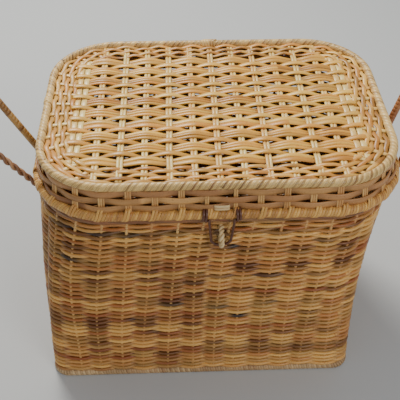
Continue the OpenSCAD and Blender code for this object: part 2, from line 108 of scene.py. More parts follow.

# %% [markdown]
# ## Strands
# A strand is a tube swept along a path, with a half thickness towards "out" and a half width across it,
# so the same code makes round cane, flat split cane and thin strips. Curves could do this too, but a
# mesh written straight from arrays is much faster for hundreds of strands, and it can carry values that
# the material reads: how pale the strand is, how deep it is tucked, which the material paints as shade,
# where it is stained, and how far along it we are. Each strand also gets its own strip of a UV map, so that
# no two strands overlap on it.

# %% A bundle of strands that becomes one mesh
class Bundle:
    def __init__(self):
        self.points, self.faces, self.caps, self.runs = [], [], [], []
        self.values = {"tone": [], "tuck": [], "stain": [], "along": [], "round": []}
        self.count = 0

    def add(
        self, path, out, thick, width, sides=6, closed=False, tone=0.5, tuck=0.0, stain=0.0, square=1.0
    ):
        """Sweeps one strand. A square below 1 flattens its round section and keeps the edges rounded."""
        path, out = np.asarray(path, float), np.asarray(out, float)
        n = len(path)
        if closed:
            step = np.roll(path, -1, 0) - np.roll(path, 1, 0)
        else:
            step = np.gradient(path, axis=0)
        step /= np.linalg.norm(step, axis=1, keepdims=True) + 1e-12
        out = out - step * (out * step).sum(1, keepdims=True)
        out /= np.linalg.norm(out, axis=1, keepdims=True) + 1e-12
        across = np.cross(step, out)
        angle = np.arange(sides) / sides * 2 * math.pi
        c, s = (np.sign(v) * np.abs(v).round(9) ** square for v in (np.cos(angle), np.sin(angle)))
        c, s = c[None, :, None], s[None, :, None]
        thick = np.broadcast_to(thick, n)[:, None, None]
        width = np.broadcast_to(width, n)[:, None, None]
        ring = path[:, None] + out[:, None] * thick * c + across[:, None] * width * s
        self.points.append(ring.reshape(-1, 3))
        gaps = np.linalg.norm(np.roll(path, -1, 0) - path, axis=1)
        along = np.concatenate([[0], np.cumsum(gaps)])
        for key, value in (("tone", tone), ("tuck", tuck), ("stain", stain), ("along", along[:n])):
            self.values[key].append(np.repeat(np.broadcast_to(value, n), sides))
        self.values["round"].append(np.tile(np.arange(sides) / sides, n))
        i = np.arange(n if closed else n - 1)
        j = np.arange(sides)
        a = i[:, None] * sides + j[None]
        b = i[:, None] * sides + (j + 1)[None] % sides
        nxt = ((i + 1) % n)[:, None] * sides
        quads = np.stack([a, b, nxt + (j + 1)[None] % sides, nxt + j[None]], -1)
        self.faces.append(self.count + quads.reshape(-1, 4))
        self.runs.append((along[: len(i)], along[1 : len(i) + 1], sides, np.mean(thick) + np.mean(width)))
        if not closed:
            self.caps.append(self.count + np.arange(sides)[::-1])
            self.caps.append(self.count + (n - 1) * sides + np.arange(sides))
        self.count += n * sides

    def strips(self):
        """One UV strip for each stretch of strand, none over another."""
        total = sum(run[1][-1] for run in self.runs)
        girth = 3.2 * max(run[3] for run in self.runs)
        reach = max(math.sqrt(total * girth), 10 * MM)
        margin = 0.08
        used = 1 - 2 * margin
        rows, spans = 0, []
        for start, end, sides, _ in self.runs:
            row = np.floor(start / reach).astype(int)
            spans.append((rows + row, start - row * reach, end - row * reach, sides))
            rows += int(row[-1]) + 1
        longest = max(float(e.max()) for _, _, e, _ in spans) * 1.002
        maps = []
        for row, start, end, sides in spans:
            j = np.arange(sides)
            low = (row[:, None] + margin + used * j[None] / sides) / rows
            high = (row[:, None] + margin + used * (j + 1)[None] / sides) / rows
            left = np.broadcast_to((start / longest)[:, None], low.shape)
            right = np.broadcast_to((end / longest)[:, None], low.shape)
            quad = np.stack(
                [np.stack([left, low], -1), np.stack([left, high], -1),
                 np.stack([right, high], -1), np.stack([right, low], -1)], 2)
            maps.append(quad.reshape(-1, 2))
        return np.concatenate(maps)

    def piece(self, name, material, body, *replaced):
        """Makes the object, sets it on its body and hides the frame's solids that it replaces."""
        points, faces = np.concatenate(self.points), np.concatenate(self.faces)
        mesh = bpy.data.meshes.new(name)
        ends = np.concatenate(self.caps) if self.caps else np.zeros(0, int)
        sizes = [4] * len(faces) + [len(cap) for cap in self.caps]
        corners = np.concatenate([faces.ravel(), ends]).astype(np.int32)
        starts = np.concatenate([[0], np.cumsum(sizes)[:-1]]).astype(np.int32)
        mesh.vertices.add(len(points))
        mesh.vertices.foreach_set("co", points.astype(np.float32).ravel())
        mesh.loops.add(len(corners))
        mesh.loops.foreach_set("vertex_index", corners)
        mesh.polygons.add(len(sizes))
        mesh.polygons.foreach_set("loop_start", starts)
        mesh.polygons.foreach_set("use_smooth", np.ones(len(sizes), bool))
        mesh.update(calc_edges=True)
        for key, parts in self.values.items():
            layer = mesh.attributes.new(key, "FLOAT", "POINT")
            layer.data.foreach_set("value", np.concatenate(parts).astype(np.float32))
        uv = np.zeros((len(corners), 2), np.float32)
        uv[: len(faces) * 4] = self.strips()
        mesh.uv_layers.new(name="OFBake").data.foreach_set("uv", uv.ravel())
        mesh.validate()
        ob = bpy.data.objects.new(name, mesh)
        bpy.context.scene.collection.objects.link(ob)
        mesh.materials.append(material)
        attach(ob, body)
        if replaced:
            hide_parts(*replaced)
        print(name, len(self.runs), "strands,", len(sizes), "faces")
        return ob

# %% [markdown]
# No cane is quite straight, and no long row is one cane. A sum of a few sine waves with random sizes
# makes a wobble that closes on itself, which plain noise for each point wouldn't. The paleness changes
# in steps, where one cane ends and the next begins.

# %% Wobble and paleness along a strand
def wander(n, waves, size):
    """A smooth random wobble along n samples."""
    t = np.arange(n) / n * 2 * math.pi
    total = np.zeros(n)
    for k in range(1, waves + 1):
        total += rng.normal() * np.cos(k * t + rng.uniform(0, 6.28)) / math.sqrt(k)
    return size * total / math.sqrt(waves)


def pieced_tone(n, per_stake, shortest=4, longest=15):
    """A strand's paleness. shortest and longest are the lengths of its canes, in stakes."""
    tone = np.zeros(n)
    start = 0
    while start < n:
        end = start + per_stake * int(rng.integers(shortest, longest))
        tone[start:end] = rng.beta(1.5, 1.5)
        start = end
    return tone


print("random numbers come from", type(rng.bit_generator).__name__)

# %% [markdown]
# ## The look of cane
# Aged cane is a warm straw yellow to tan, glossy on its skin, with fine fibres along its length, with
# specks of dust, and with stained lengths that are nearly black. Where one strand is tucked under another,
# painted shade darkens it. One group works all of that out from the values that the strands carry. It is
# used by every cane material with its own colours, so the lid can be paler than the wall: partly cleaner
# cane, partly painted light from above.

# %% Add one node
def node(tree, kind, **settings):
    """Adds a node in the next place of a grid, so that the tree can be read in the editor."""
    row, column = divmod(len(tree.nodes), 8)
    made = tree.nodes.new(kind)
    made.location = (240 * column - 1400, -300 * row)
    for key, value in settings.items():
        setattr(made, key, value)
    return made


def join(tree, value, socket):
    """Sets a plain value on a socket, or links another socket to it."""
    if isinstance(value, bpy.types.NodeSocket):
        tree.links.new(value, socket)
    else:
        socket.default_value = value


print("node groups so far", len(bpy.data.node_groups))

# %% [markdown]
# The group reads the values that each strand carries through Attribute nodes, and noise for what no
# strand carries. It gives out a colour, a roughness and a height, and each material decides what to do
# with them.

# %% The cane group
def cane_group():
    tree = bpy.data.node_groups.new("cane skin", "ShaderNodeTree")
    colours, numbers = ("Pale", "Deep", "Warm", "Shade and dust", "Stain"), ("Fibre", "Gloss", "Edge")
    for name in colours + numbers:
        kind = "NodeSocketColor" if name in colours else "NodeSocketFloat"
        tree.interface.new_socket(name=name, in_out="INPUT", socket_type=kind)
    for name in ("Color", "Roughness", "Height"):
        kind = "NodeSocketColor" if name == "Color" else "NodeSocketFloat"
        tree.interface.new_socket(name=name, in_out="OUTPUT", socket_type=kind)
    given = node(tree, "NodeGroupInput").outputs
    result = node(tree, "NodeGroupOutput").inputs
    tone, tuck, stain, along, turn = (
        node(tree, "ShaderNodeAttribute", attribute_name=key).outputs["Fac"]
        for key in ("tone", "tuck", "stain", "along", "round")
    )

    def calc(kind, a, b=0, clamp=False):
        made = node(tree, "ShaderNodeMath", operation=kind, use_clamp=clamp)
        join(tree, a, made.inputs[0])
        join(tree, b, made.inputs[1])
        return made.outputs[0]

    def mix(factor, a, b):
        made = node(tree, "ShaderNodeMix", data_type="RGBA")
        for value, socket in zip((factor, a, b), (made.inputs[0], made.inputs[6], made.inputs[7])):
            join(tree, value, socket)
        return made.outputs[2]

    def noise(vector, scale, detail):
        made = node(tree, "ShaderNodeTexNoise")
        for value, key in ((vector, "Vector"), (scale, "Scale"), (detail, "Detail")):
            join(tree, value, made.inputs[key])
        return made.outputs["Fac"]

    # Fibres run along the strand, so their noise is stretched along it. Patches and specks lie in space.
    strand = node(tree, "ShaderNodeCombineXYZ")
    for value, stretch, socket in zip((along, turn, tone), (26, 9, 57), strand.inputs):
        join(tree, calc("MULTIPLY", value, stretch), socket)
    fibres = noise(strand.outputs[0], 1.6, 4)
    where = node(tree, "ShaderNodeTexCoord").outputs["Object"]
    blotch = noise(where, 11, 3)
    speck = noise(where, 420, 2)

    # Each cane is pale or deep, with a share of the warm tint, and paler at the edges of a split strip.
    shift = calc("MULTIPLY", calc("SUBTRACT", fibres, 0.5), given["Fibre"])
    patch = calc("MULTIPLY", calc("SUBTRACT", blotch, 0.5), 0.9)
    pale = calc("ADD", calc("ADD", tone, shift), patch, True)
    colour = mix(pale, given["Deep"], given["Pale"])
    lot = calc("FRACT", calc("MULTIPLY", tone, 37.7))
    colour = mix(calc("MULTIPLY", calc("POWER", lot, 2.2), 0.7), colour, given["Warm"])
    turned = calc("SINE", calc("MULTIPLY", turn, 2 * math.pi))
    brim = calc("POWER", calc("ABSOLUTE", turned), 3)
    colour = mix(calc("MULTIPLY", brim, given["Edge"]), colour, given["Pale"])

    # Dust lies in specks, painted shade where a strand is tucked under another, and stains where they are
    # given.
    dust = calc("MULTIPLY", calc("SUBTRACT", speck, 0.56), 5, True)
    colour = mix(calc("MULTIPLY", dust, 0.35), colour, given["Shade and dust"])
    # The tuck value is painted shade: it darkens the colour towards the shade colour and makes it rougher.
    tuck_shading = calc("POWER", tuck, 1.4, True)
    colour = mix(calc("MULTIPLY", tuck_shading, 0.72), colour, given["Shade and dust"])
    dark = calc("MULTIPLY", stain, calc("ADD", fibres, 0.55), True)
    join(tree, mix(dark, colour, given["Stain"]), result["Color"])

    rough = calc("ADD", given["Gloss"], calc("MULTIPLY", fibres, 0.22))
    rough = calc("ADD", rough, calc("MULTIPLY", tuck_shading, 0.25), True)
    join(tree, rough, result["Roughness"])
    join(tree, calc("ADD", fibres, calc("MULTIPLY", speck, 0.4)), result["Height"])
    print("group", tree.name, len(tree.nodes), "nodes")
    return tree


CANE_SKIN = cane_group()

# %% [markdown]
# Each kind of cane on the trunk is one material: the group with its own colours, and a Principled shader
# that stays outside the group, so that an export can read it. The colours are a pale and a deep end, a
# warm tint that some canes have, the painted shade of the gaps, which the dust specks share, and the stain.
# A thin coat gives the skin's gloss.

# %% Materials made from the group
def srgb(r, g, b):
    linear = [((v / 255 + 0.055) / 1.055) ** 2.4 if v > 10 else v / 255 / 12.92 for v in (r, g, b)]
    return (*linear, 1.0)


def cane(
    name, pale, deep, warm, shade_and_dust, stain=(44, 32, 30), fibre=0.7, gloss=0.32, bump=0.25, coat=0.15, edge=0.0
):
    material = bpy.data.materials.new(name)
    material.use_nodes = True
    tree = material.node_tree
    skin = node(tree, "ShaderNodeGroup", node_tree=CANE_SKIN)
    for key, value in (("Pale", pale), ("Deep", deep), ("Warm", warm), ("Shade and dust", shade_and_dust), ("Stain", stain)):
        skin.inputs[key].default_value = srgb(*value)
    for key, value in (("Fibre", fibre), ("Gloss", gloss), ("Edge", edge)):
        skin.inputs[key].default_value = value
    shader = tree.nodes["Principled BSDF"]
    shader.inputs["Specular IOR Level"].default_value = 0.5
    shader.inputs["Coat Weight"].default_value = coat
    shader.inputs["Coat Roughness"].default_value = 0.25
    ridge = node(tree, "ShaderNodeBump")
    ridge.inputs["Strength"].default_value = bump
    ridge.inputs["Distance"].default_value = 0.6 * MM
    join(tree, skin.outputs["Color"], shader.inputs["Base Color"])
    join(tree, skin.outputs["Roughness"], shader.inputs["Roughness"])
    join(tree, skin.outputs["Height"], ridge.inputs["Height"])
    join(tree, ridge.outputs["Normal"], shader.inputs["Normal"])
    return material


WALL_CANE = cane(
    "wall cane", (255, 200, 112), (104, 60, 26), (180, 98, 50), (34, 16, 8), fibre=0.9, gloss=0.28,
)
STAKE_CANE = cane(
    "stake cane", (236, 192, 122), (190, 138, 78), (206, 146, 88), (74, 44, 22), gloss=0.34,
)
SKIRT_CANE = cane("skirt cane", (240, 184, 112), (140, 92, 50), (172, 112, 72), (54, 32, 18), fibre=0.9)
# The lid's canes are paler than the wall's: partly cleaner cane, partly painted light from the window
# above.
LID_CANE = cane(
    "lid cane", (255, 204, 88), (160, 104, 36), (234, 156, 56), (40, 20, 8), fibre=0.9, gloss=0.3, coat=0.2,
)
LID_BORDER = cane(
    "lid border cane", (255, 202, 98), (158, 104, 40), (224, 148, 62), (40, 20, 8), gloss=0.3, coat=0.2,
)
LID_STAKE = cane(
    "lid stake", (255, 230, 146), (222, 170, 80), (236, 174, 92), (86, 56, 28), gloss=0.26, coat=0.3,
)
RIM_CANE = cane(
    "rim cane", (255, 216, 138), (118, 80, 36), (140, 92, 46), (40, 20, 8), fibre=0.7, edge=1.0,
)
LOW_CANE = cane(
    "lower rim cane", (250, 196, 106), (156, 104, 52), (186, 118, 64), (50, 26, 12), fibre=0.9, edge=0.6,
)
FOOT_CANE = cane(
    "foot cane", (230, 196, 144), (150, 114, 74), (170, 118, 78), (62, 42, 26),
    fibre=0.9, gloss=0.45, edge=0.4,
)
BORDER_CANE = cane("border cane", (192, 144, 86), (126, 80, 46), (158, 96, 62), (50, 28, 16))
DARK_CANE = cane(
    "dark cane", (120, 70, 42), (70, 36, 22), (104, 52, 34), (32, 16, 10), gloss=0.2, coat=0.4,
)
CREAM_CANE = cane("cream cane", (240, 214, 162), (206, 168, 110), (222, 180, 130), (110, 78, 46))
HANDLE_CANE = cane(
    "handle cane", (210, 168, 96), (138, 94, 50), (150, 88, 56), (56, 30, 18), fibre=0.9, edge=0.5,
)
TWIST_CANE = cane(
    "twisted cane", (204, 158, 116), (118, 74, 48), (164, 108, 80), (46, 24, 16), fibre=0.9,
)
ORANGE_CANE = cane(
    "orange cane", (206, 144, 88), (146, 84, 46), (178, 100, 62), (60, 28, 16), fibre=0.9, edge=0.5,
)
print("materials", len(bpy.data.materials))

# %% [markdown]
# ## The wall
# The wall is plain weave: one round cane goes in front of a stake and behind the next, and the row above
# does the opposite. The stakes stand at even shares of the foot and of the top, so they lean where the
# corners grow rounder. A strand's path is the wall's surface plus a wave across the stakes. The surface
# is worked out between the two lines, and halfway up it bulges a little to one side, as old wicker does.

# %% The wall's surface
WALL_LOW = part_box("wall_weave")[0][2]
WALL_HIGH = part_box("wall_weave")[1][2]
BULGE = 8 * MM


def height_share(z):
    return (z - WALL_LOW) / (WALL_HIGH - WALL_LOW)


def wall_at(u, z, out=0.0):
    low, low_out = ring_at(FOOT, u)
    high, high_out = ring_at(BORDER, u)
    h = height_share(z)[:, None]
    normal = low_out * (1 - h) + high_out * h
    normal /= np.linalg.norm(normal, axis=1, keepdims=True)
    point = low * (1 - h) + high * h
    point[:, 0] -= BULGE * np.sin(math.pi * np.clip(h[:, 0], 0, 1))
    point[:, 2] = z
    return point + normal * np.reshape(out, (-1, 1)), normal


print("wall from", round(WALL_LOW / MM, 1), "to", round(WALL_HIGH / MM, 1), "mm")

# %% [markdown]
# Water and age have left dark lengths of cane on the front. Each is a soft ellipse on the wall, flat
# enough to darken one row or two. A painted mask would do it too, but here each stain can be moved by hand.

# %% Stains of the front
# Middle x and z, half length and half height in mm, and strength
STAINS = [
    (-200, 392, 70, 3.4, 1.0), (-110, 386, 60, 3.2, 0.9), (-30, 389, 50, 3.0, 0.8), (62, 356, 30, 3.6, 1.2),
    (28, 383, 18, 22, 0.7), (-228, 326, 30, 5, 1.1), (-70, 314, 36, 6, 0.45), (120, 384, 46, 3.2, 0.6),
    (190, 366, 60, 3.4, 0.7), (52, 200, 74, 2.8, 1.1), (66, 172, 20, 5, 1.1), (140, 208, 44, 4, 0.7),
    (-50, 210, 56, 3, 0.9), (-120, 168, 28, 3.4, 0.9), (-90, 128, 26, 5, 0.8), (105, 284, 56, 4, 0.55),
    (-30, 270, 46, 4, 0.45), (150, 118, 46, 3.6, 0.6), (222, 244, 26, 6, 0.5), (-150, 250, 30, 3, 0.5),
    (40, 96, 40, 3, 0.5), (-190, 90, 30, 3, 0.5),
]


def blots(point):
    """How far each point of the front is stained, from 0 to 1."""
    total = np.zeros(len(point))
    for x, z, half, tall, strong in STAINS:
        near = ((point[:, 0] / MM - x) / half) ** 2 + ((point[:, 2] / MM - z) / tall) ** 2
        total += strong * np.exp(-near * 1.3) * (point[:, 1] < 0)
    return np.clip(total, 0, 1)


print(len(STAINS), "stains")

# %% [markdown]
# No row is quite even: each has its own thickness, wanders up and down a little, and is made of several
# canes. The stakes stray from their even places too, and the rows with them. The highest rows lie almost
# flat along the front of the stakes, so they show as long runs. A section that is deeper than it is tall
# closes the wall, as pressed canes do.

# %% Places of the rows and the stakes
WALL_WAVE = 4.1 * MM
ROW_PITCH = 5.25 * MM
FLAT_ROWS = 4
PER_STAKE = 6
low_row, high_row = WALL_LOW + 1 * MM, WALL_HIGH - 1 * MM
rows = int(round((high_row - low_row) / ROW_PITCH))
heights = low_row + (np.arange(rows) + 0.5) * (high_row - low_row) / rows
samples = STAKES * PER_STAKE
u = np.arange(samples) / samples
wave = np.cos(math.pi * (u * STAKES - 0.5))
lean_of_stake = rng.normal(size=(STAKES, 3)) * np.array([0.09, 0.07, 0.05])


def stake_shift(share, z):
    """How far a stake has strayed from its even place, as a share of the way round."""
    h = np.clip(height_share(z), 0, 1)
    at = np.mod(share * STAKES - 0.5, STAKES)
    k = np.floor(at).astype(int)
    f = at - k

    def stray(i):
        a, b, c = lean_of_stake[np.mod(i, STAKES)].T
        return a * (1 - h) * 0.5 + b * np.sin(h * 5 + c * 60) + c * h * 0.5

    return (stray(k) * (1 - f) + stray(k + 1) * f) / STAKES


print(rows, "rows", round((high_row - low_row) / rows / MM, 2), "mm apart")

# %% [markdown]
# The rows become two objects, a lower and an upper half, so that neither mesh is too heavy. The swing of a
# row is 1 where it passes in front of a stake and -1 behind it; there it is tucked in, and painted shade
# darkens it.

# %% Weave the rows
halves = {
    "wall_rows_lower": (range(0, rows // 2), ("wall_weave",)),
    "wall_rows_upper": (range(rows // 2, rows), ()),
}
for name, (part, replaced) in halves.items():
    bundle = Bundle()
    for row in part:
        swing = wave if row % 2 else -wave
        if row >= rows - FLAT_ROWS:
            swing = -0.55 + 1.6 * np.cos(math.pi / 2 * (u * STAKES - row)) ** 2
        height = heights[row] + wander(samples, 16, 0.8 * MM) + wander(samples, 60, 0.3 * MM)
        height += swing * 0.25 * MM
        lift = swing * WALL_WAVE * (1 + wander(samples, 12, 0.1))
        path, out = wall_at(u + stake_shift(u, height), height, lift)
        fat = (3.0 + rng.normal() * 0.22) * MM * (1 + wander(samples, 30, 0.07))
        # Painted shade where the row passes behind a stake.
        tuck = np.clip(-swing * 0.62 + 0.08, 0, 1)
        tone = pieced_tone(samples, PER_STAKE, 2, 9)
        inward = path - out * fat[:, None] * 0.55
        bundle.add(
            inward, out, fat * 1.35, fat, closed=True, tone=tone, tuck=tuck, stain=blots(path), square=0.85
        )
    bundle.piece(name, WALL_CANE, "trunk", *replaced)

# %% [markdown]
# The stakes are single rods from the foot rim to the border. They show as short pale dashes between the
# rows that pass in front of them. They follow the same strayed places as the rows, so that the two meet.

# %% Stand up the stakes
bundle = Bundle()
for k in range(STAKES):
    z = np.linspace(WALL_LOW - 4 * MM, WALL_HIGH + 2 * MM, 14)
    place = np.full(14, (k + 0.5) / STAKES)
    path, out = wall_at(place + stake_shift(place, z), z, 0.5 * MM)
    bundle.add(path, out, 2.7 * MM, 2.7 * MM, sides=8, tone=rng.beta(3, 2))
stakes_in_frame = [f"stakes_{side}" for side in ("front", "rear", "left", "right")]
bundle.piece("wall_stakes", STAKE_CANE, "trunk", *stakes_in_frame)

# %% [markdown]
# ## Wrapped rims
# A rim is a rod with strips of split cane wound tightly round it. A strip is a helix, so it leans, and
# its edges make the fine ridges that catch the light. It could be a screw modifier on a profile, but a
# swept strand takes uneven turns and gets the same material as every other cane. The rod inside is there
# to close the fine gaps between the turns, and it is coloured dark with painted shade.

# %% Wind strips round any path
def wind(
    bundle, path, outs, up, radius, turns, thick, width, per_turn=14, tone=None, phase=0.0, uneven=0.1
):
    """path, outs and up are functions of a share from 0 to 1: the rod's centre and two cross directions."""
    n = max(int(turns * per_turn), 8)
    share = np.arange(n + 1) / n
    angle = 2 * math.pi * turns * share + phase + wander(n + 1, 40, uneven)
    radial = outs(share) * np.cos(angle)[:, None] + up(share) * np.sin(angle)[:, None]
    if tone is None:
        tone = pieced_tone(n + 1, per_turn, 1, 6)
    strip = path(share) + radial * (radius - thick)
    bundle.add(strip, radial, thick, width, sides=8, tone=tone, square=0.5)


def up_of(share):
    return np.tile([0.0, 0.0, 1.0], (len(share), 1))


def raised(line, u, z):
    """Points and normals of a line at the height z."""
    point, out = ring_at(line, u)
    point[:, 2] = z
    return point, out


def wrapped_rim(name, line, z, radius, advance, starts, material, body, *replaced, lean=1):
    """advance is how far a strip travels in one turn. starts is how many strips are wound side by side."""
    bundle = Bundle()
    lengths = 6
    stretch = length_of(line) / lengths
    turns = max(round(stretch / advance), 1)
    slope = math.atan2(stretch / turns, 2 * math.pi * radius)
    width = stretch / turns / starts * math.cos(slope) * 0.49
    for k in range(lengths):

        def path(share, k=k):
            return raised(line, (k + share) / lengths, z)[0]

        def outs(share, k=k):
            return lean * ring_at(line, (k + share) / lengths)[1]

        for start in range(starts):
            phase = 2 * math.pi * start / starts
            wind(bundle, path, outs, up_of, radius, turns, 0.7 * MM, width, phase=phase)
    rod_radius = radius - 1.1 * MM
    point, out = raised(line, np.arange(400) / 400, z)
    # The rod is darkened with painted shade, as it shows only in the gaps between the turns.
    bundle.add(point, out, rod_radius, rod_radius, sides=10, closed=True, tone=0.1, tuck=0.9)
    return bundle.piece(name, material, body, *replaced)

# %% [markdown]
# The top rim has broad strips that lean a lot, the lower rim narrower ones, and the foot is wound finely.

# %% Wrap the foot, the top rim and the lower rim
foot_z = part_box("foot_rim_core")[0][2] + 4 * MM
wrapped_rim("foot_rim", FOOT, foot_z, FOOT_R - 0.9 * MM, 10 * MM, 2, FOOT_CANE, "trunk",
            "foot_rim_wrap", "foot_rim_core", lean=-1)
wrapped_rim("top_rim", TOP_RIM, TOP_RIM["z"], TOP_R, 28 * MM, 3, RIM_CANE, "lid",
            "lid_top_rim_wrap", "lid_top_rim_core")
wrapped_rim("lower_rim", LOW_RIM, LOW_RIM["z"], LOW_R, 15 * MM, 3, LOW_CANE, "lid",
            "lid_lower_rim_wrap", "lid_lower_rim_core")

# %% [markdown]
# The strip that covers the lower rim is also what holds the rim to the skirt: at every stake it reaches
# up over the lowest row, twice, and makes a tall double stitch. Each stitch is a closed loop, round the
# rim and a few millimetres higher than it.

# %% Tall stitches on the lower rim
def stitch_loop(line, u, z, radius, reach, tilt=0.0, samples=22):
    """A loop round the rim that goes up over the skirt, at the share u of the line."""
    angle = np.arange(samples) / samples * 2 * math.pi
    point, out = ring_at(line, np.full(samples, u) + tilt * np.sin(angle) / length_of(line))
    tall = np.where(np.sin(angle) > 0, reach, 0.0)
    side = np.cos(angle) * radius * np.where(np.sin(angle) > 0, 1 - 0.25 * np.sin(angle), 1)
    path = point + out * side[:, None]
    path[:, 2] = z + np.sin(angle) * (radius + tall)
    radial = out * np.cos(angle)[:, None]
    radial[:, 2] = np.sin(angle)
    return path, radial


bundle = Bundle()
for k in range(STAKES):
    for twin in (-1, 1):
        place = (k + 0.5 + twin * 0.055) / STAKES
        reach = (5.0 + rng.normal() * 0.8) * MM
        path, radial = stitch_loop(LOW_RIM, place, LOW_RIM["z"], LOW_R + 0.3 * MM, reach, tilt=4 * MM)
        tone = 0.45 + 0.5 * rng.beta(3, 2)
        bundle.add(path, radial, 0.7 * MM, 2.1 * MM, sides=8, closed=True, tone=tone, square=0.5)
bundle.piece("rim_stitches", LOW_CANE, "lid")

# %% [markdown]
# ## The lid's skirt
# Three rows of flat cane go round the lid between its two rims, over and under short stakes. The skirt
# leans outwards, so its surface is the top rim's line, grown by a share of the way down.

# %% Weave the skirt
SKIRT_LEAN = (LOW_RIM["w"] - TOP_RIM["w"]) / 2 / (TOP_RIM["z"] - LOW_RIM["z"])
SKIRT_ROWS = 3


def skirt_at(u, z, out=0.0):
    point, normal = ring_at(TOP_RIM, u)
    lean = (TOP_RIM["z"] - z) * SKIRT_LEAN
    point = point + normal * np.reshape(lean + out, (-1, 1))
    point[:, 2] = z
    return point, normal


skirt_low = LOW_RIM["z"] + LOW_R - 1 * MM
skirt_high = TOP_RIM["z"] - TOP_R + 1 * MM
band = (skirt_high - skirt_low) / SKIRT_ROWS
bundle = Bundle()
for j in range(SKIRT_ROWS):
    swing = (1 if j % 2 else -1) * wave
    height = skirt_low + (j + 0.5) * band + wander(samples, 14, 0.9 * MM)
    path, out = skirt_at(u, height, swing * 2.3 * MM)
    # Painted shade where the row passes behind a stake.
    tuck = np.clip(-swing * 0.55 + 0.05, 0, 1)
    wide = band * 0.5 * (1 + wander(samples, 25, 0.04))
    bundle.add(path, out, 2.0 * MM, wide, sides=8, closed=True, tuck=tuck, square=0.75,
               tone=pieced_tone(samples, PER_STAKE, 4, 14))
bundle.piece("skirt_rows", SKIRT_CANE, "lid", "lid_skirt_weave")

# %% [markdown]
# Each short stake is three thin rods side by side. The hasp lies on the skirt when it is swung up, so the
# rods are left out behind it.

# %% Short stakes of the skirt
HASP_X = (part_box("hasp_loop")[0][0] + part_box("hasp_loop")[1][0]) / 2
HASP_ROOM = 19 * MM
ROD_STEP = 3.7 * MM / length_of(LOW_RIM)
bundle = Bundle()
for k in range(STAKES):
    for rod in (-1, 0, 1):
        z = np.linspace(skirt_low - 4 * MM, skirt_high + 4 * MM, 8)
        path, out = skirt_at(np.full(8, (k + 0.5) / STAKES) + rod * ROD_STEP, z)
        if path[0, 1] < 0 and abs(path[0, 0] - HASP_X) < HASP_ROOM:
            continue
        bundle.add(path, out, 1.4 * MM, 1.9 * MM, tone=rng.beta(3, 2))
bundle.piece("skirt_stakes", STAKE_CANE, "lid", "lid_skirt_stakes")

# %% [markdown]
# ## The top of the lid
# The middle of the lid is woven from flat cane. Its stakes run from front to rear, each a pair of rods
# side by side. A grid of flat boxes would give the pattern, but not the way the strands press past each
# other, so each strand here is swept along its own wave. At each end two flat pale strips close the panel.

# %% Stakes and end strips of the middle
LID_X = TOP_RIM["x"]
LID_Z = (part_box("lid_weave")[0][2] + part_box("lid_weave")[1][2]) / 2
LID_PITCH = 40 * MM
LID_WAVE = 3.1 * MM
PANEL_X, PANEL_Y = 247 * MM, 168 * MM
BANDS = 10
period = 2 * PANEL_Y / BANDS
UP = np.array([0.0, 0.0, 1.0])


def flat_strand(bundle, x, y, z, thick, width, **values):
    path = np.stack([LID_X + x, y, LID_Z + z], 1)
    bundle.add(path, np.tile(UP, (len(x), 1)), thick, width, sides=8, square=0.7, **values)


bundle = Bundle()
for k in range(-5, 6):
    y = np.linspace(-PANEL_Y - 34 * MM, PANEL_Y + 34 * MM, 130)
    inner = np.abs(y) < PANEL_Y
    rise = 1.0 * MM * np.cos(2 * math.pi * (y + PANEL_Y) / period) * (1 if k % 2 else -1) * inner
    middle = k * LID_PITCH + wander(130, 4, 0.8 * MM)
    for twin in (-1, 1):
        x = middle + twin * 2.75 * MM + wander(130, 5, 0.2 * MM)
        width = (2.75 + rng.normal() * 0.15) * MM
        flat_strand(bundle, x, y, rise, 2.0 * MM, width, tone=0.3 + 0.7 * rng.beta(3, 2))
bundle.piece("lid_bars", LID_STAKE, "lid", "lid_stakes")

bundle = Bundle()
for side in (-1, 1):
    for strip in (0, 1):
        y = np.linspace(-PANEL_Y + 12 * MM, PANEL_Y - 12 * MM, 110)
        rise = -0.8 * MM * np.cos(2 * math.pi * (y + PANEL_Y) / period)
        x = np.full(110, side * (230.5 + 11.2 * strip) * MM) + wander(110, 3, 0.5 * MM)
        flat_strand(bundle, x, y, rise, 1.3 * MM, 5.3 * MM, tone=0.4 + 0.5 * rng.beta(3, 2))
bundle.piece("lid_end_strips", LID_STAKE, "lid")

# %% [markdown]
# A wide band of two or three strands goes under every second stake and over the others, and a narrow
# single strand between the wide bands does the opposite, so every second stake shows as a long pale bar.

# %% Bands across the middle
bundle = Bundle()
count = 150
for p in range(BANDS):
    wide_y = -PANEL_Y + (p + 0.5) * period
    x = np.linspace(-PANEL_X - 4 * MM, PANEL_X + 4 * MM, count)
    swing = np.cos(math.pi * x / LID_PITCH)
    drift = wander(count, 4, 0.7 * MM)
    places, half = ((-1, 0, 1), 3.9 * MM) if p % 3 else ((-0.72, 0.72), 5.6 * MM)
    under = (swing + 1) / 2
    for strand in places:
        bunch = 1 - 0.16 * under
        y = wide_y + drift + strand * 7.8 * MM * bunch + wander(count, 6, 0.5 * MM)
        z = -swing * LID_WAVE + (0.3 * MM if strand == 0 else 0) + wander(count, 9, 0.15 * MM)
        # Painted shade where the strand passes under a stake.
        tuck = np.clip(swing * 0.55, 0, 1)
        fat = (half + rng.normal() * 0.25 * MM) * (1 - 0.1 * under)
        flat_strand(bundle, x, y, z, 1.5 * MM, fat, tone=pieced_tone(count, 16, 3, 9), tuck=tuck)
    if p < BANDS - 1:
        y = np.full(count, wide_y + period / 2) + wander(count, 6, 0.6 * MM)
        z = swing * (LID_WAVE + 0.9 * MM)
        fat = (5.0 + 0.7 * swing + rng.normal() * 0.3) * MM
        # Painted shade where the narrow strand passes under a stake.
        tuck = np.clip(-swing * 0.55, 0, 1)
        flat_strand(bundle, x, y, z, 1.4 * MM, fat, tone=0.25 + 0.7 * rng.beta(3, 2), tuck=tuck)
bundle.piece("lid_bands", LID_CANE, "lid", "lid_weave")

# %% [markdown]
# Round the middle runs a border of finer strands that follows the lid's corners, over and under short
# stakes. Where the long stakes of the middle already reach the rim, in the front and in the rear, the
# border needs none of its own.

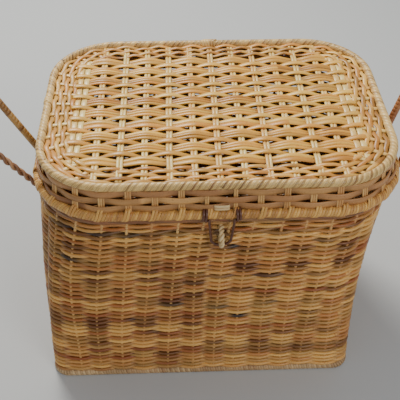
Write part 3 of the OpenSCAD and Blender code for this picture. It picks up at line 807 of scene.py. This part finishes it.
# %% The border round the middle
BORDER_STATIONS = 54
BORDER_ROWS = 5
bundle = Bundle()
n = BORDER_STATIONS * 6
share = np.arange(n) / n
for j in range(BORDER_ROWS):
    line = grown(TOP_RIM, -TOP_R - (4.6 + 8 * j) * MM)
    swing = np.cos(math.pi * share * BORDER_STATIONS + math.pi * j)
    point, out = ring_at(line, share)
    sway = 0.9 * MM * np.cos(math.pi * share * BORDER_STATIONS * 2)
    point = point + out * sway[:, None]
    point[:, 2] = LID_Z + swing * 2.9 * MM + 0.2 * MM
    # Painted shade where the strand passes under a stake.
    tuck = np.clip(-swing * 0.6, 0, 1)
    wide = (4.1 + rng.normal() * 0.1) * MM * (1 + wander(n, 20, 0.06))
    bundle.add(point, np.tile(UP, (n, 1)), 1.6 * MM, wide, sides=8, closed=True, square=0.8,
               tone=pieced_tone(n, 6, 2, 7), tuck=tuck)
bundle.piece("lid_border_rows", LID_BORDER, "lid", "lid_edge_weave")

bundle = Bundle()
for k in range(BORDER_STATIONS):
    inner, _ = ring_at(grown(TOP_RIM, -TOP_R - 44 * MM), [k / BORDER_STATIONS])
    outer, _ = ring_at(grown(TOP_RIM, -TOP_R + 1 * MM), [k / BORDER_STATIONS])
    from_middle = np.abs(outer[0] - [LID_X, 0, 0])
    if from_middle[1] > PANEL_Y + 20 * MM and from_middle[0] < 205 * MM:
        continue
    t = np.linspace(0, 1, 8)[:, None]
    path = inner * (1 - t) + outer * t
    path[:, 2] = LID_Z
    bundle.add(path, np.tile(UP, (8, 1)), 1.8 * MM, 4.4 * MM, sides=8, tone=rng.beta(3, 2))
bundle.piece("lid_border_stakes", LID_STAKE, "lid")

# %% [markdown]
# ## The rolled border of the body
# At the top of the wall each stake is bent over and rolled round its neighbours. What shows is a band of
# long slanting rods, each starting inside, passing over the top and ending outside three stakes further.
# Each is a stretch of a helix round the border's line, with a plain rod inside them all.

# %% Roll the border
bundle = Bundle()
radius = BORDER_R - 2.6 * MM
for k in range(2 * STAKES):
    t = np.linspace(0, 1, 26)
    point, out = ring_at(BORDER, (k / 2 + 3.4 * t) / STAKES)
    angle = np.radians(215 - 275 * t)
    path = point + out * (np.cos(angle) * radius)[:, None]
    path[:, 2] = BORDER["z"] + np.sin(angle) * radius
    radial = out * np.cos(angle)[:, None]
    radial[:, 2] = np.sin(angle)
    bundle.add(path, radial, 2.1 * MM, 2.9 * MM, sides=6, tone=rng.beta(2, 2), stain=0.25 * rng.random())
point, out = raised(BORDER, np.arange(300) / 300, BORDER["z"])
# The rod inside is darkened with painted shade, as it shows only between the rolled rods.
bundle.add(point, out, 4 * MM, 4 * MM, sides=8, closed=True, tone=0.2, tuck=0.6)
bundle.piece("rolled_border", BORDER_CANE, "trunk", "border_rods", "border_core")

# %% [markdown]
# ## The floor
# The floor is woven before the wall, from round cane over thick rods. It is seen from below and through
# the open lid, so it is woven like the wall but on a flat plane.

# %% Weave the floor
floor_low, floor_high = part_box("floor_weave")
floor_z = (floor_low[2] + floor_high[2]) / 2
half_w, half_d = floor_high[0] - 3 * MM, floor_high[1] - 3 * MM
floor_pitch = 42 * MM
bundle = Bundle()
floor_rows = int(2 * half_d / (7.4 * MM))
for j in range(floor_rows):
    x = np.linspace(-half_w, half_w, 110)
    y = np.full(110, -half_d + (j + 0.5) * 2 * half_d / floor_rows)
    swing = (1 if j % 2 else -1) * np.cos(math.pi * x / floor_pitch)
    path = np.stack([x, y, floor_z + swing * 2.4 * MM], 1)
    # A little painted shade all over the floor rows.
    bundle.add(path, np.tile(UP, (110, 1)), 1.9 * MM, 3.6 * MM, tone=pieced_tone(110, 8), tuck=0.2)
bundle.piece("floor_rows", WALL_CANE, "trunk", "floor_weave")
bundle = Bundle()
for k in range(-6, 7):
    y = np.linspace(-half_d, half_d, 12)
    path = np.stack([np.full(12, k * floor_pitch), y, np.full(12, floor_z)], 1)
    # A little painted shade all over the floor rods.
    bundle.add(path, np.tile(UP, (12, 1)), 2.4 * MM, 3.4 * MM, sides=8, tone=rng.beta(2, 2), tuck=0.2)
bundle.piece("floor_rods", STAKE_CANE, "trunk", "floor_stakes")

# %% [markdown]
# ## Loops, hasp and eye
# The lid hangs in two loops of dark cane, wound a few times round its rear rim and through the wall. Each
# turn is a closed belt in a plane: two half circles and two straight runs. A torus would be round, and
# would stand away from the rods it holds.

# %% Loops that go round two rods
def belt_path(a, b, radius, n=40):
    """A closed path in a plane round two circles of one radius, with its outward directions."""
    run = (b - a) / np.linalg.norm(b - a)
    across = np.array([-run[1], run[0]])
    turn = np.linspace(0, math.pi, n // 2)
    points, outs = [], []
    for centre, sign in ((b, 1), (a, -1)):
        angle = (turn - math.pi / 2)[:, None]
        out = sign * (np.cos(angle) * run + np.sin(angle) * across)
        points.append(centre + radius * out)
        outs.append(out)
    return np.concatenate(points), np.concatenate(outs)


def wound_loop(name, a, b, radius, strands, width, place, body, material, *replaced):
    """strands turns of cane side by side. place turns a plane point and a side step into space."""
    bundle = Bundle()
    flat, outs = belt_path(np.array(a), np.array(b), radius + 1.5 * MM)
    for k in range(strands):
        side = (k - (strands - 1) / 2) * width / strands
        half = width / strands * 0.52
        outward = place(outs, 0.0, True)
        bundle.add(place(flat, side), outward, 1.35 * MM, half, sides=8, closed=True, tone=rng.beta(2, 2))
    return bundle.piece(name, material, body, *replaced)


GAP = 0.45 * MM
LOOP_STRANDS, LOOP_WIDTH = 4, 12 * MM
rim_point = (LOW_RIM["d"] / 2, LOW_RIM["z"])
border_point = (BORDER["d"] / 2, BORDER["z"])
for node_name in ("hinge_loop_left", "hinge_loop_right"):
    low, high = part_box(node_name)
    middle = (low[0] + high[0]) / 2

    def place(flat, step, direction=False, middle=middle):
        x = np.full(len(flat), 0.0 if direction else middle + step)
        return np.stack([x, flat[:, 0], flat[:, 1]], 1)

    wound_loop(node_name + "_cane", rim_point, border_point, LOW_R + GAP, LOOP_STRANDS, LOOP_WIDTH,
               place, "trunk", DARK_CANE, node_name)

# %% [markdown]
# Each handle is held by two loops of the same kind. They go out from the wall round the handle's foot bar.

# %% Holding loops of the handles
HOLDER_T = 3 * MM
for node_name in ("holder_left_front", "holder_left_rear", "holder_right_front", "holder_right_rear"):
    low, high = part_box(node_name)
    z = (low[2] + high[2]) / 2
    radius = (high[2] - low[2]) / 2 - HOLDER_T
    y = (low[1] + high[1]) / 2
    ends = (low[0] + radius + HOLDER_T, z), (high[0] - radius - HOLDER_T, z)

    def place(flat, step, direction=False, y=y):
        across = np.full(len(flat), 0.0 if direction else y + step)
        return np.stack([flat[:, 0], across, flat[:, 1]], 1)

    wound_loop(node_name + "_cane", *ends, radius, LOOP_STRANDS, LOOP_WIDTH, place, "trunk", DARK_CANE,
               node_name)

# %% [markdown]
# The twisted eye and the front arm of each handle are two plies laid round each other. Each ply is a
# helix round the same middle line, half a turn apart.

# %% Twist two plies along a path
def along_path(points, count):
    """Resamples a path to even steps."""
    points = np.asarray(points, float)
    steps = np.linalg.norm(np.diff(points, axis=0), axis=1)
    reach = np.concatenate([[0], np.cumsum(steps)])
    t = np.linspace(0, reach[-1], count)
    return np.stack([np.interp(t, reach, points[:, i]) for i in range(3)], 1), reach[-1]


def cross_directions(path, side):
    """Two directions across a path. The first is the one nearest to side."""
    step = np.gradient(path, axis=0)
    step /= np.linalg.norm(step, axis=1, keepdims=True)
    side = np.asarray(side, float) - step * (step @ np.asarray(side, float))[:, None]
    side /= np.linalg.norm(side, axis=1, keepdims=True)
    return side, np.cross(step, side)


def twist(bundle, points, side, diameter, pitch, count=160, tone=(0.4, 0.8)):
    path, length = along_path(points, count)
    a, b = cross_directions(path, side)
    ply = diameter / 4
    for k in range(2):
        angle = np.linspace(0, length / pitch * 2 * math.pi, count) + k * math.pi
        radial = a * np.cos(angle)[:, None] + b * np.sin(angle)[:, None]
        bundle.add(path + radial * ply, radial, ply * 1.02, ply * 1.12, sides=8, tone=tone[k])


def sampled(table):
    """Turns rows of points into a function of a share from 0 to 1."""
    places = np.linspace(0, 1, len(table))
    return lambda share: np.stack([np.interp(share, places, table[:, i]) for i in range(3)], 1)


def wrap(bundle, points, side, diameter, pitch):
    """Winds one strip round a path, over a plain rod."""
    path, length = along_path(points, 200)
    a, b = cross_directions(path, side)
    turns, rod_radius = length / pitch, diameter / 2 - 1 * MM
    wind(bundle, sampled(path), sampled(a), sampled(b), diameter / 2, turns, 0.7 * MM, pitch * 0.54)
    # The rod is darkened with painted shade, as it shows only between the turns of the strip.
    bundle.add(path, a, rod_radius, rod_radius, sides=10, tone=0.3, tuck=0.6)


print("the hinge loops have", LOOP_STRANDS, "turns of cane, the eye and the handles' front arms two plies")

# %% [markdown]
# The eye is a cream cord of two plies. It comes out of the wall, goes round a half circle and back in.

# %% The eye
low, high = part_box("catch_eye")
eye_d = high[0] - low[0]
eye_x = (low[0] + high[0]) / 2
eye_top, eye_bottom = high[2] - eye_d / 2, low[2] + eye_d / 2
eye_r = (eye_top - eye_bottom) / 2
eye_front = low[1] + eye_d / 2 + eye_r
turn = np.linspace(0, math.pi, 40)
arc = [(eye_x, eye_front - eye_r * math.sin(t), eye_bottom + eye_r - eye_r * math.cos(t)) for t in turn]
route = [(eye_x, high[1], eye_bottom), *arc, (eye_x, high[1], eye_top)]
bundle = Bundle()
twist(bundle, route, (1, 0, 0), eye_d, 17 * MM)
bundle.piece("twisted_eye", CREAM_CANE, "trunk", "catch_eye")

# %% [markdown]
# The hasp is one thin glossy cane: two turns round the lid's front rim, a leg down, a bend, a leg up and
# two turns again. It drops over the eye. The route is worked out in the hasp's own leaning plane.

# %% The hasp
HASP_LEAN = math.radians(10)
HASP_TURNS = 2
RING_STEP = 4.6 * MM
hasp_half, hasp_drop, hasp_bend, hasp_ring = 25 * MM, 71 * MM, 16.5 * MM, 11.4 * MM
rim_front = -LOW_RIM["d"] / 2
down = np.array([0, math.sin(HASP_LEAN), -math.cos(HASP_LEAN)])
front = np.array([0, -math.cos(HASP_LEAN), -math.sin(HASP_LEAN)])
middle = np.array([HASP_X, rim_front, LOW_RIM["z"]])
bend_y = hasp_drop - hasp_bend - 2.8 * MM
lean = math.atan2(hasp_half, bend_y) - math.asin(hasp_bend / math.hypot(hasp_half, bend_y))
bend = np.linspace(lean, math.pi - lean, 24)
flat = [(hasp_bend * math.cos(t), bend_y + hasp_bend * math.sin(t)) for t in bend]
ring = []
for t in np.linspace(HASP_TURNS * 2 * math.pi, 0, 60):
    swung = math.cos(t) * front + math.sin(t) * np.cross([1, 0, 0], front)
    sideways = hasp_half + t / (2 * math.pi) * RING_STEP - RING_STEP
    ring.append(middle + hasp_ring * swung + np.array([sideways, 0, 0]))
legs = [middle + front * hasp_ring + down * y + np.array([x, 0, 0]) for x, y in flat]
mirror = [np.array([2 * HASP_X - p[0], p[1], p[2]]) for p in ring[::-1]]
route, _ = along_path(ring + legs + mirror, 260)
a, b = cross_directions(route, (0.2, -1, 0.1))
bundle = Bundle()
bundle.add(route, a, 2.3 * MM, 2.4 * MM, sides=8, tone=0.5 + wander(260, 6, 0.15))
bundle.piece("hasp_cane", DARK_CANE, "hasp", "hasp_loop")

# %% [markdown]
# ## Handles
# Each handle is a rod bent into a hoop. The rear arm is wrapped with split cane, and the front arm is
# covered by two twisted plies. The hoop turns on its foot bar, so its pieces ride on their own bodies.
# The hoop is drawn in its own plane, and one function tilts that plane about the pivot.

# %% A hoop in the pivot's own plane
HANDLE_FOOT, HANDLE_REACH, HANDLE_BEND = 86 * MM, 200 * MM, 64 * MM
FOOT_ROD_R = 4 * MM
HANDLE_TILT = {-1: 33, 1: 19}


def hoop_point(side, x, y):
    """x towards the rear along the pivot, y up the handle. side is -1 on the left."""
    node_name = "handle_left_rod" if side < 0 else "handle_right_rod"
    holder = "holder_left_front" if side < 0 else "holder_right_front"
    low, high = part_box(node_name)
    tilt = math.radians(HANDLE_TILT[side])
    loop_low, loop_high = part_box(holder)
    pivot_z = (loop_low[2] + loop_high[2]) / 2
    pivot_x = (loop_low[0] if side < 0 else loop_high[0]) - side * (FOOT_ROD_R + GAP + HOLDER_T)
    return np.array([
        pivot_x + side * math.sin(tilt) * y,
        (low[1] + high[1]) / 2 + x,
        pivot_z + math.cos(tilt) * y,
    ])


def arm_route(side, end):
    """The middle line of one arm and half of the bend. end is 1 for the rear arm."""
    run = HANDLE_REACH - HANDLE_BEND
    spread = HANDLE_BEND - HANDLE_FOOT / 2
    lowest = -math.asin(spread / math.hypot(run, spread))
    turn = np.linspace(lowest, math.pi / 2, 30)
    bend = [(HANDLE_BEND * math.cos(t), run + HANDLE_BEND * math.sin(t)) for t in turn]
    foot_end = np.array([HANDLE_FOOT / 2, 0])
    along = np.array(bend[0]) - foot_end
    along /= np.linalg.norm(along)
    start = foot_end + 7 * MM * along
    return [hoop_point(side, end * x, y) for x, y in [tuple(start), *bend]]


print("left handle's pivot", hoop_point(-1, 0, 0), "right handle's pivot", hoop_point(1, 0, 0))

# %% [markdown]
# The left handle's twist is browner than its wrapping. The right handle is orange brown all over.

# %% Both handles
for side, label, material in ((-1, "left", HANDLE_CANE), (1, "right", ORANGE_CANE)):
    body = f"handle_{label}"
    tilt = math.radians(HANDLE_TILT[side])
    face = (side * math.cos(tilt), 0, -math.sin(tilt))
    bundle = Bundle()
    wrap(bundle, arm_route(side, 1), face, 12.8 * MM, 7.2 * MM)
    bundle.piece(f"{body}_wrapping", material, body, f"{body}_wrap")
    bundle = Bundle()
    twist(bundle, arm_route(side, -1), face, 12 * MM, 34 * MM, count=260, tone=(0.3, 0.8))
    bundle.piece(f"{body}_twisting", TWIST_CANE if side < 0 else material, body, f"{body}_twist")
    bundle = Bundle()
    foot = [hoop_point(side, end * HANDLE_FOOT / 2, 0) for end in (-1, 1)]
    up_arm = [hoop_point(side, end * (HANDLE_FOOT / 2 + 1 * MM), 9 * MM) for end in (-1, 1)]
    route, _ = along_path([up_arm[0], foot[0], foot[1], up_arm[1]], 60)
    a, b = cross_directions(route, face)
    bundle.add(route, a, FOOT_ROD_R, FOOT_ROD_R, sides=10, tone=0.4)
    bundle.piece(f"{body}_foot", material, body, f"{body}_rod")

# %% [markdown]
# ## Small repairs
# A thicker binding covers the joint of the rod at the rear of the top rim. A few turns of cane tie the
# rim on the left. A short doubled strand lies on the skirt between the legs of the hasp.

# %% Binding and tie
def short_wrap(name, node_name, along_axis, centre, length, radius, turns):
    """A few turns of cane round a straight stretch of the top rim."""
    bundle = Bundle()
    points = np.outer(np.linspace(-0.5, 0.5, 20) * length, along_axis) + centre
    path, _ = along_path(points, 60)
    a, b = cross_directions(path, (0, 0, 1))
    half = length / turns * 0.52
    wind(bundle, sampled(path), sampled(a), sampled(b), radius, turns, 0.9 * MM, half)
    bundle.piece(name, RIM_CANE, "lid", node_name)


rear_middle = (LID_X, TOP_RIM["d"] / 2, TOP_RIM["z"])
left_place = (LID_X - TOP_RIM["w"] / 2, 20 * MM, TOP_RIM["z"])
short_wrap("splice_binding", "rim_splice_binding", (1, 0, 0), rear_middle, 26 * MM, TOP_R + 2 * MM, 5)
short_wrap("side_tie", "rim_tie", (0, 1, 0), left_place, 14 * MM, TOP_R + 1.3 * MM, 3)

# %% [markdown]
# The keeper is two short strands, one above the other. Their ends bend back into the weave, by the fourth
# power of the distance from the middle, which keeps the middle flat.

# %% The keeper between the hasp's legs
low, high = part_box("skirt_keeper")
bundle = Bundle()
for k in (-1, 1):
    x = np.linspace(low[0] + 1 * MM, high[0] - 1 * MM, 12)
    z = np.full(12, (low[2] + high[2]) / 2 + k * 2.7 * MM)
    y = np.full(12, low[1] + 2.2 * MM) + np.abs(np.linspace(-1, 1, 12)) ** 4 * 1.6 * MM
    forward = np.tile([0.0, -1.0, 0.0], (12, 1))
    bundle.add(np.stack([x, y, z], 1), forward, 1.9 * MM, 2.6 * MM, sides=8, tone=0.75 + 0.1 * k)
bundle.piece("front_keeper", CREAM_CANE, "lid", "skirt_keeper")

# %% [markdown]
# ## Floor, light and camera
# A plain pale floor lies under the trunk. It is a stage piece, so it isn't part of the trunk's own model.

# %% Studio floor
mesh = bpy.data.meshes.new("studio_floor")
size = 6.0
floor_corners = [(-size, -size, 0), (size, -size, 0), (size, size, 0), (-size, size, 0)]
mesh.from_pydata(floor_corners, [], [(0, 1, 2, 3)])
floor = bpy.data.objects.new("studio_floor", mesh)
bpy.context.scene.collection.objects.link(floor)
paper = bpy.data.materials.new("paper")
paper.use_nodes = True
paper.node_tree.nodes["Principled BSDF"].inputs["Base Color"].default_value = srgb(196, 198, 198)
paper.node_tree.nodes["Principled BSDF"].inputs["Roughness"].default_value = 0.9
mesh.materials.append(paper)
print("floor", 2 * size, "m wide")

# %% [markdown]
# One soft light stands high behind the trunk, like a window, and rakes over the weave of the lid. A
# weaker one in front on the right keeps the front in soft shade. A point light would make the shadows
# between the strands hard, so both are discs.

# %% Lights
def area_light(name, at, target, size, power, colour):
    lamp = bpy.data.lights.new(name, "AREA")
    lamp.shape = "DISK"
    lamp.size = size
    lamp.energy = power
    lamp.color = colour
    ob = bpy.data.objects.new(name, lamp)
    bpy.context.scene.collection.objects.link(ob)
    ob.location = at
    ob.rotation_euler = (Vector(target) - Vector(at)).to_track_quat("-Z", "Y").to_euler()


area_light("window", (-0.7, 1.6, 2.5), (0, 0, 0.3), 1.1, 86, (1, 0.97, 0.9))
area_light("fill", (1.2, -1.9, 1.9), (0, 0, 0.25), 1.2, 21, (1, 0.96, 0.9))
world = bpy.data.worlds.new("studio")
bpy.context.scene.world = world
world.use_nodes = True
sky = world.node_tree.nodes["Background"]
sky.inputs["Color"].default_value = (0.9, 0.94, 1, 1)
sky.inputs["Strength"].default_value = 0.4
print("lights", [light.name for light in bpy.data.lights])

# %% [markdown]
# The camera looks down on the trunk from the front, a little from the left. Its rotation is built from
# three directions, right, up and back, because that is easier to reason about than three angles.

# %% Camera
camera = bpy.data.objects.new("camera", bpy.data.cameras.new("camera"))
bpy.context.scene.collection.objects.link(camera)
camera.data.lens = 67.5
camera.location = (-0.0414, -1.0950, 1.2435)
down_angle, yaw, roll = math.radians(41.66), math.radians(2.35), math.radians(0.31)
north = Vector((math.sin(yaw), math.cos(yaw), 0))
ahead = north * math.cos(down_angle) + Vector((0, 0, -math.sin(down_angle)))
level = Vector((math.cos(yaw), -math.sin(yaw), 0))
right = level * math.cos(roll) + level.cross(ahead) * math.sin(roll)
camera.rotation_euler = Matrix((right, right.cross(ahead), -ahead)).transposed().to_euler()
bpy.context.scene.camera = camera
print("camera", camera.location, "lens", camera.data.lens)
